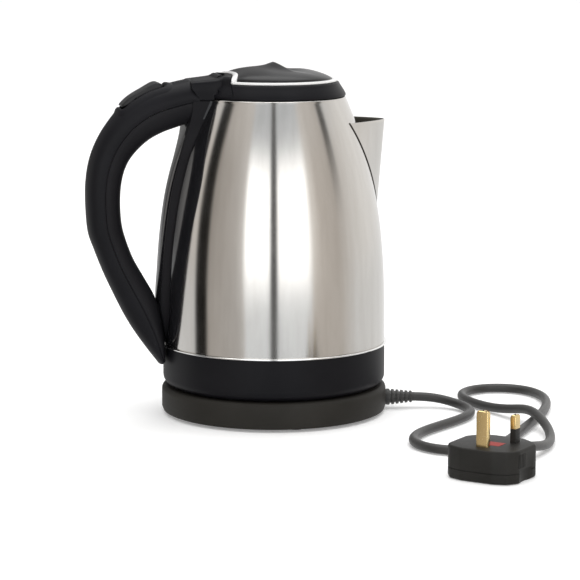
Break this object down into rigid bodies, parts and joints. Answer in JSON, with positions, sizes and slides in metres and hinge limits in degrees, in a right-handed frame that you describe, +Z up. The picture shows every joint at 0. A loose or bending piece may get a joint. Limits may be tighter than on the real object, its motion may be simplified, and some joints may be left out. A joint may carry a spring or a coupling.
{
  "type": "electric kettle",
  "caption": "Cordless electric kettle: tapered steel body with V spout, black arched handle, skirt and hinged lid, on a round power base with a mains lead and plug.",
  "frame": {"origin": "on the axis of the power base and kettle, in the plane of the rubber feet that the base stands on", "axes": "+Z up along the axis on which the kettle turns on its base; +X towards the spout, -X towards the handle; +Y to the left of someone looking towards the spout from behind the handle"},
  "size_m": [0.3304, 0.3383, 0.2455],
  "materials": {
    "body_steel": "satin, fine vertical-reflection polish",
    "strainer_steel": "satin",
    "bright_trim": "bright",
    "satin_black": "fine satin moulding",
    "handle_black": "fine satin moulding",
    "grip_black": "fine matte texture",
    "gloss_black": "gloss moulding",
    "lid_black": "satin moulding",
    "base_black": "fine matte texture",
    "coupler_plastic": "semi-gloss",
    "shutter_plastic": "semi-gloss",
    "control_plastic": "matte",
    "screw_steel": "zinc plated",
    "pin_steel": "ground",
    "aluminium_plate": "as rolled",
    "element_sheath": "dull",
    "bimetal": "rolled",
    "brass_contact": "nickel-free brass",
    "silicone": "translucent matte",
    "wire_insulation": "matte",
    "foot_rubber": "matte",
    "cord_rubber": "satin flexible sheath",
    "plug_black": "satin moulding",
    "fuse_red": "satin",
    "fuse_ceramic": "glazed"
  },
  "bodies": {
    "power_base": {"base_cover": "base_black", "base_plate": "base_black", "base_connector": "coupler_plastic", "base_terminals": "brass_contact", "shutter_spring": "pin_steel", "rubber_feet": "foot_rubber", "base_screws": "screw_steel", "cord_clamp": "base_black", "strain_relief": "cord_rubber", "base_leads": "wire_insulation", "cord": "cord_rubber", "plug_grommet": "cord_rubber", "plug_body": "plug_black", "plug_pins": "brass_contact", "plug_sleeves": "plug_black", "fuse_cover": "fuse_red", "fuse": "fuse_ceramic"},
    "shutter": {"shutter_ring": "shutter_plastic"},
    "kettle": {"vessel": "body_steel", "vessel_floor": "body_steel", "spout": "body_steel", "spout_strainer": "strainer_steel", "trim_ring": "bright_trim", "skirt": "satin_black", "bottom_cover": "satin_black", "bottom_screws": "screw_steel", "diffuser_plate": "aluminium_plate", "heating_element": "element_sheath", "dry_boil_control": "control_plastic", "dry_boil_bimetals": "bimetal", "kettle_coupler": "coupler_plastic", "coupler_contacts": "brass_contact", "collar": "satin_black", "top_cover": "satin_black", "hinge_pin": "pin_steel", "handle_outer": "handle_black", "handle_inner": "grip_black", "handle_bracket": "gloss_black", "handle_screws": "screw_steel", "switch_housing": "control_plastic", "switch_pin": "pin_steel", "steam_bimetal": "bimetal", "steam_duct": "silicone", "switch_leads": "wire_insulation"},
    "lid": {"lid_cover": "lid_black", "lid_trim": "bright_trim", "lid_frame": "satin_black", "lid_plate": "strainer_steel", "lid_seal": "silicone", "lid_screws": "screw_steel"},
    "rocker": {"rocker_switch": "gloss_black"}
  },
  "joints": [
    {"name": "kettle_turn", "type": "hinge", "parent": "power_base", "child": "shutter", "pos_m": [0, 0, 0.02], "axis": [0, 0, 1], "continuous": true},
    {"name": "kettle_lift", "type": "slide", "parent": "shutter", "child": "kettle", "axis": [0, 0, 1], "range_m": [0, 0.09]},
    {"name": "lid_hinge", "type": "hinge", "parent": "kettle", "child": "lid", "pos_m": [-0.0398, 0, 0.2348], "axis": [0, -1, 0], "range_deg": [0, 75]},
    {"name": "switch_rock", "type": "hinge", "parent": "kettle", "child": "rocker", "pos_m": [-0.09192, 0, 0.22207], "axis": [0, 1, 0], "range_deg": [0, 8], "stiffness_Nm_per_rad": 0.05, "springref_deg": -5.73}
  ]
}
